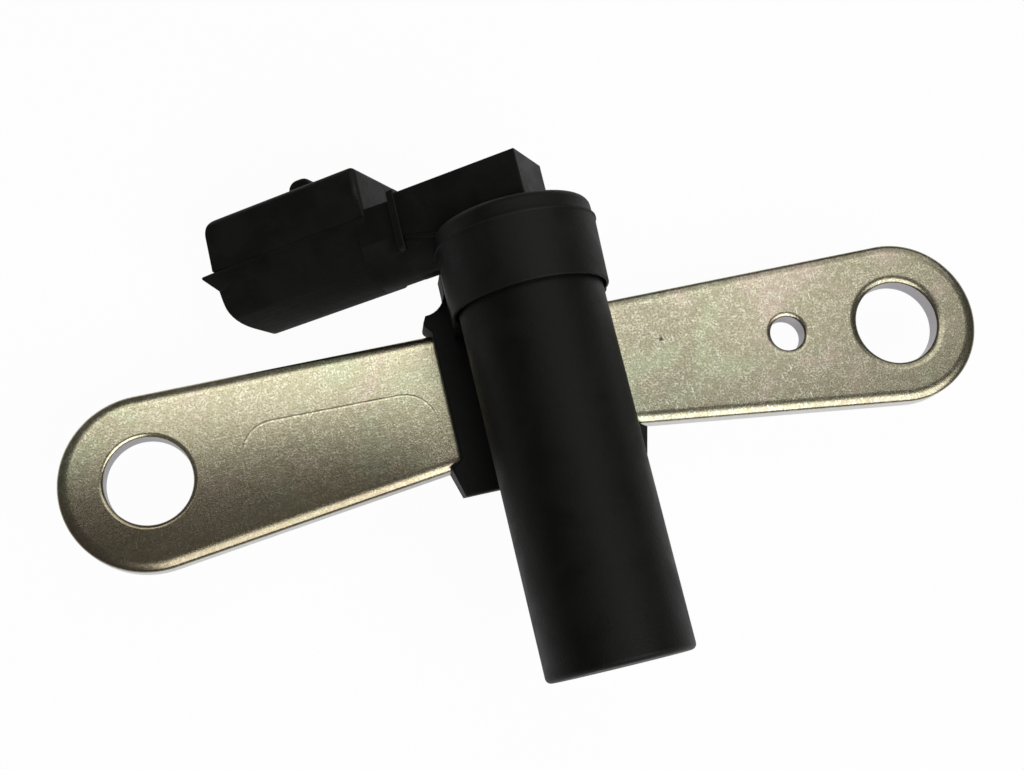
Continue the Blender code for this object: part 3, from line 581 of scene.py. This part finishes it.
arm = keel_bar("arm", -4.1, 13.3, 0.0, 5.0, 16.5, 22.0, 26.8, 0.3)
slice_off((-3.2 * MM, -5.0 * MM, 0.0), (-1.0, -1.0, 0.0))
end()
soften(arm, 0.3 * MM)

keel_bar("neck", 12.3, 18.5, -0.24, 4.74, 16.6, 22.0, 26.3, 0.3)
combine(arm, end(), "UNION")

box_between("rib", (12.3, -5.5, 19.3), (13.3, 5.5, 27.3))
pick("EDGE", lambda a, b: abs(a.x - b.x) > 0.9 * MM)
round_edges(0.5 * MM, 3)
rib = end()
soften(rib, 0.16 * MM)
combine(arm, rib, "UNION")

shroud_start, shroud_stop, shroud_split, shroud_top = 17.0, 41.0, 25.3, 32.15
keel_middle = -1.45
rim_radius = 2.1
shroud = box_between("shroud", (shroud_start, -7.9, shroud_split), (shroud_stop, 5.0, shroud_top))
pick("EDGE", lambda a, b: min(a.z, b.z) > (shroud_top - 0.05) * MM or (
    max(a.x, b.x) < (shroud_start + 0.1) * MM and abs(a.z - b.z) > MM))
round_edges(0.8 * MM, 5)
end()
keel_bar("keel", shroud_start, shroud_stop, keel_middle, 5.95, 16.8, shroud_split, 25.6, 0.01)
combine(shroud, end(), "UNION")
mouth_side = [(15.5, 16.7), (34.5, 16.7)] + bow((34.5, 20.9), 5.0, 285, 360, 10, 4.2)
rim_middle = (37.4, shroud_top - rim_radius * math.sin(math.radians(75)))
mouth_side += bow(rim_middle, rim_radius, 0, 75, 8)
mouth_side += [(36.3, 33.75), (15.5, 33.75)]
draw("side_profile", [(x, -13.0, z) for x, z in mouth_side], (0.0, 26.0, 0.0))
combine(shroud, end(), "INTERSECT")
combine(arm, shroud, "UNION")

# A low bar that the mould left where the arm meets the head
box_between("mould_mark", (7.4, 4.6, -0.27), (12.2, 5.14, 0.27))
bpy.ops.transform.rotate(value=math.radians(14.8), orient_axis="Y",
                         center_override=(12.2 * MM, 5.0 * MM, 0.0))
bpy.ops.transform.translate(value=(0.0, 0.0, 20.75 * MM))
mark = end()
soften(mark, 0.08 * MM, 2)
combine(arm, mark, "UNION")

guide_side = [(35.5, 25.6), (41.1, 25.0), (41.1, 24.7), (39.2, 22.5), (35.5, 23.9)]
draw("guide_lip", [(x, 3.5, z) for x, z in guide_side], (0.0, 1.8, 0.0))
slice_off((40.6 * MM, 5.3 * MM, 25.3 * MM), (-0.20, 1.0, -0.12))
guide = end()
soften(guide, 0.15 * MM)
combine(arm, guide, "UNION")

box_between("latch_nub", (25.3, -3.45, 31.4), (28.7, 0.55, 34.95))
pick("EDGE", lambda a, b: min(a.z, b.z) > 34.9 * MM and abs(a.y - b.y) > MM)
round_edges(1.35 * MM, 6)
nub = end()
soften(nub, 0.5 * MM)
combine(arm, nub, "UNION")

keel_bar("mouth", 25.4, 46.0, keel_middle, 4.95, 21.9, shroud_split, 30.65, 0.7)
combine(arm, end(), "DIFFERENCE")
for across in (0.8, -2.8):
    box_between("blade_slot", (20.0, across - 1.05, 24.1), (27.0, across + 1.05, 25.5))
    combine(arm, end(), "DIFFERENCE")

arm.matrix_world = arm_place
choose(arm)
bpy.ops.object.transform_apply(location=True, rotation=True, scale=True)
combine(body, arm, "UNION")

axis_rod("socket", 9.46, 50.6, -14.7, 128)
bpy.ops.mesh.inset(thickness=0.96 * MM)
pull((0.0, 4.7 * MM, 0.0))
combine(body, end(), "DIFFERENCE")

choose(strip)
bpy.ops.object.duplicate()
combine(body, bpy.context.object, "DIFFERENCE")
smooth(body)
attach(body, "root")
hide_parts("body_moulding")

grain_group, grain_in, grain_out = new_group(
    "moulded_grain", [("Vector", "NodeSocketVector", None), ("Scale", "NodeSocketFloat", 2500.0)],
    [("Height", "NodeSocketFloat"), ("Patches", "NodeSocketFloat")])
grain_fine = noise(grain_group, grain_in.outputs["Vector"], grain_in.outputs["Scale"], 3.0, 0.6)
grain_wide = times(grain_group, grain_in.outputs["Scale"], 0.06)
grain_broad = noise(grain_group, grain_in.outputs["Vector"], grain_wide, 3.0, 0.55, 0.6)
grain_group.links.new(grain_fine, grain_out.inputs["Height"])
grain_group.links.new(grain_broad, grain_out.inputs["Patches"])


def moulded(name, dark, pale, worn, grain_scale, roughness, shine=0.5):
    """A matt moulded plastic with fine grain, uneven gloss, paler rubbed edges and a little dust."""
    made, tree, shader, place = new_material(name, roughness)
    shader.inputs["Specular IOR Level"].default_value = shine
    grain = use_group(tree, grain_group, Vector=place, Scale=grain_scale)
    rub = use_group(tree, edge_group, Radius=0.3 * MM, Vector=place, Patch_Scale=500.0)["Mask"]
    dust = use_group(tree, speck_group, Vector=place, Scale=420.0, Size=0.07, Density=0.10)["Mask"]
    colour = blend_colour(tree, ramp(tree, grain["Patches"], 0.35, 0.65), (*dark, 1), (*pale, 1))
    for amount in (times(tree, rub, 0.5), times(tree, dust, 0.35)):
        colour = blend_colour(tree, amount, colour, (*worn, 1))
    gloss = ramp(tree, grain["Patches"], 0.3, 0.7, roughness - 0.05, roughness + 0.07)
    gloss = math_node(tree, "MULTIPLY_ADD", rub, -0.08, gloss)
    height = math_node(tree, "MULTIPLY_ADD", grain["Patches"], 0.8, grain["Height"])
    surface(tree, shader, colour, gloss, height, 0.05 * MM)
    return made


body_plastic = moulded("black_nylon_body", (0.0040, 0.0041, 0.0036), (0.0062, 0.0062, 0.0050),
                       (0.022, 0.022, 0.018), 3600.0, 0.50, 0.2)
finish_with(body, body_plastic)


# Barrel
# A deep cup of the same black nylon, smooth all round, with a closed sensing tip. Its slim spigot is
# pushed up into the head, and the head's collar leaves a dark groove round it.

barrel = axis_rod("barrel_cup", 9.0, 45.2, -13.2, 160)
bpy.ops.mesh.inset(thickness=0.8 * MM)
pull((0.0, 5.6 * MM, 0.0))
bpy.ops.mesh.inset(thickness=1.3 * MM)
pull((0.0, -49.4 * MM, 0.0))
pick("EDGE", lambda a, b: max(a.y, b.y) < -35.7 * MM)
round_edges(0.7 * MM, 6)
end()
smooth(barrel)
# Painted shade: the barrel gets a copy of the body's nylon that is painted a little darker
barrel_plastic_shaded = moulded("black_nylon_barrel_shaded", (0.0037, 0.0038, 0.0032), (0.0049, 0.0049, 0.0041),
                         (0.018, 0.018, 0.015), 3800.0, 0.47, 0.17)
finish_with(barrel, barrel_plastic_shaded)
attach(barrel, "root")
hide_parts("barrel_sleeve")


# Terminals and their holder
# Two stamped and tinned brass strips run from the coil up through the head and along the arm, and
# end as blades in the shroud's mouth. A moulded bar spaces them. Their solids keep their shapes.

tinned, tree, shader, place = new_material("tinned_brass_blades", 0.30, 1.0)
streaks = mapped(tree, place, turn=(0.0, arm_turn, 0.0), stretch=(0.15, 1.0, 1.0))
drawn = noise(tree, streaks, 6000.0, 3.0, 0.6)
cloudy = noise(tree, place, 420.0, 2.0, 0.5)
colour = blend_colour(tree, ramp(tree, cloudy, 0.35, 0.65), (0.60, 0.58, 0.53, 1), (0.70, 0.68, 0.63, 1))
rub = use_group(tree, edge_group, Radius=0.15 * MM, Vector=place, Patch_Scale=900.0)["Mask"]
colour = blend_colour(tree, times(tree, rub, 0.5), colour, (0.72, 0.52, 0.26, 1))
surface(tree, shader, colour, ramp(tree, drawn, 0.3, 0.7, 0.24, 0.38), drawn, 0.01 * MM)
for name in ("terminal_a", "terminal_b"):
    finish_with(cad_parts[name], tinned)
pale_nylon = moulded("pale_nylon", (0.50, 0.47, 0.40), (0.58, 0.55, 0.48), (0.68, 0.66, 0.60), 2800.0, 0.48)
finish_with(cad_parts["terminal_holder"], pale_nylon)


# Coil, magnet and resin
# Sealed in the barrel: a nylon bobbin wound with enamelled copper under a film of amber tape, an iron
# pole pin, a sintered magnet and its flux plate, the two wire ends, and the resin cast over them.

finish_with(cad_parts["coil_bobbin"], pale_nylon)

copper, tree, shader, place = new_material("enamelled_copper", 0.30, 1.0)
turns = add(tree, "ShaderNodeTexWave", wave_type="BANDS", bands_direction="Y")
feed(tree, turns.inputs["Vector"], place)
feed(tree, turns.inputs["Scale"], 1600.0)
feed(tree, turns.inputs["Distortion"], 0.4)
tone = noise(tree, place, 700.0, 2.0)
colour = blend_colour(tree, ramp(tree, tone, 0.3, 0.7), (0.42, 0.12, 0.045, 1), (0.56, 0.19, 0.07, 1))
surface(tree, shader, colour, ramp(tree, tone, 0.3, 0.7, 0.26, 0.36), turns.outputs["Fac"], 0.04 * MM)
for name in ("coil_winding", "winding_lead_a", "winding_lead_b"):
    finish_with(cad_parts[name], copper)

amber = moulded("amber_film", (0.52, 0.36, 0.07), (0.64, 0.46, 0.11), (0.75, 0.62, 0.30), 900.0, 0.32)
finish_with(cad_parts["winding_tape"], amber)

iron, tree, shader, place = new_material("soft_iron", 0.40, 1.0)
scratch = noise(tree, place, 3200.0, 4.0, 0.6)
stain = noise(tree, place, 260.0, 3.0)
colour = blend_colour(tree, ramp(tree, stain, 0.4, 0.7), (0.36, 0.36, 0.37, 1), (0.27, 0.24, 0.21, 1))
surface(tree, shader, colour, ramp(tree, scratch, 0.3, 0.7, 0.34, 0.48), scratch, 0.015 * MM)
for name in ("pole_pin", "flux_plate"):
    finish_with(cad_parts[name], iron)

sintered, tree, shader, place = new_material("sintered_magnet", 0.48, 1.0)
pores = noise(tree, place, 4200.0, 3.0, 0.7)
colour = blend_colour(tree, ramp(tree, pores, 0.35, 0.6), (0.07, 0.07, 0.075, 1), (0.13, 0.13, 0.14, 1))
surface(tree, shader, colour, ramp(tree, pores, 0.3, 0.7, 0.40, 0.56), pores, 0.03 * MM)
finish_with(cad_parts["magnet"], sintered)

resin = moulded("potting_resin", (0.014, 0.014, 0.014), (0.022, 0.021, 0.020), (0.07, 0.07, 0.065),
                600.0, 0.33)
finish_with(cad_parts["potting_plug"], resin)


# Floor, lamps and camera
# A plain white table under the sensor, a broad lamp from the barrel's side of the strip and two weak
# ones from the head's side, and the camera close above the strip, as the photograph has it.

def mix_shaders(tree, amount, first, second, output):
    """Blend two shaders by an amount and send the result to an output node."""
    mixed = add(tree, "ShaderNodeMixShader")
    tree.links.new(amount, mixed.inputs[0])
    tree.links.new(first.outputs[0], mixed.inputs[1])
    tree.links.new(second.outputs[0], mixed.inputs[2])
    tree.links.new(mixed.outputs[0], output.inputs["Surface"])


def lamp(name, toward, size, power, roll=0.0):
    """A soft lamp 0.6 m away that faces the sensor. Its long side lies along X but for a roll in
    degrees."""
    light = bpy.data.lights.new(name, "AREA")
    light.shape = "RECTANGLE"
    light.size, light.size_y = size
    light.energy = power
    item = bpy.data.objects.new(name, light)
    bpy.context.scene.collection.objects.link(item)
    out = Vector(toward).normalized()
    side = (Vector((1.0, 0.0, 0.0)) - out * out.x).normalized()
    aimed = Matrix((side, out.cross(side), out)).transposed().to_4x4()
    rolled = Matrix.Rotation(math.radians(roll), 4, "Z")
    item.matrix_world = Matrix.Translation(out * 0.6) @ aimed @ rolled


white = (1, 1, 1, 1)
# The table lies just below the shroud's corner, the lowest point of the sensor
table_height = -9.2 * MM
bpy.ops.object.select_all(action="DESELECT")
bpy.ops.mesh.primitive_plane_add(size=6.0, location=(0.0, 0.0, table_height))
floor = bpy.context.object
floor.name = "table"
paper = bpy.data.materials.new("white_table")
paper.use_nodes = True
tree = paper.node_tree
shader = tree.nodes["Principled BSDF"]
feed(tree, shader.inputs["Base Color"], (0.86, 0.86, 0.86, 1))
feed(tree, shader.inputs["Roughness"], 0.9)
feed(tree, shader.inputs["Specular IOR Level"], 0.0)
glow = add(tree, "ShaderNodeEmission")
feed(tree, glow.inputs["Color"], white)
feed(tree, glow.inputs["Strength"], 1.0)
# The camera sees the table nearly pure white, and glossy faces reflect it a little brighter
rays = add(tree, "ShaderNodeLightPath").outputs
seen = times(tree, rays["Is Camera Ray"], 0.965)
seen = math_node(tree, "MULTIPLY_ADD", rays["Is Glossy Ray"], 0.3, seen)
mix_shaders(tree, seen, shader, glow, tree.nodes["Material Output"])
finish_with(floor, paper)

sky = bpy.data.worlds.new("studio")
sky.use_nodes = True
bpy.context.scene.world = sky
tree = sky.node_tree
dim = tree.nodes["Background"]
feed(tree, dim.inputs["Color"], white)
feed(tree, dim.inputs["Strength"], 0.11)
bright = add(tree, "ShaderNodeBackground")
feed(tree, bright.inputs["Color"], white)
feed(tree, bright.inputs["Strength"], 1.0)
# The camera sees a white backdrop, and the sensor is lit by a dim grey one
rays = add(tree, "ShaderNodeLightPath").outputs
mix_shaders(tree, rays["Is Camera Ray"], dim, bright, tree.nodes["World Output"])

lamp("top_lamp", (0.12, 0.365, 0.93), (0.56, 0.20), 0.62, -9)
lamp("side_lamp", (0.47, 0.60, 0.65), (0.46, 0.30), 0.34)
lamp("front_lamp", (0.27, -0.57, 0.77), (0.60, 0.46), 2.6)

lens = bpy.data.cameras.new("photo_camera")
lens.lens = 53.91
lens.sensor_width = 36.0
lens.clip_start = 0.01
lens.clip_end = 20.0
camera = bpy.data.objects.new("photo_camera", lens)
bpy.context.scene.collection.objects.link(camera)
camera_turn = Matrix(((0.96832, 0.20364, -0.14459),
                      (-0.23068, 0.95114, -0.20526),
                      (0.09573, 0.23211, 0.96797))).to_4x4()
camera.matrix_world = Matrix.Translation((-0.03135, -0.03828, 0.19475)) @ camera_turn
bpy.context.scene.camera = camera
bpy.context.scene.view_settings.view_transform = "Standard"
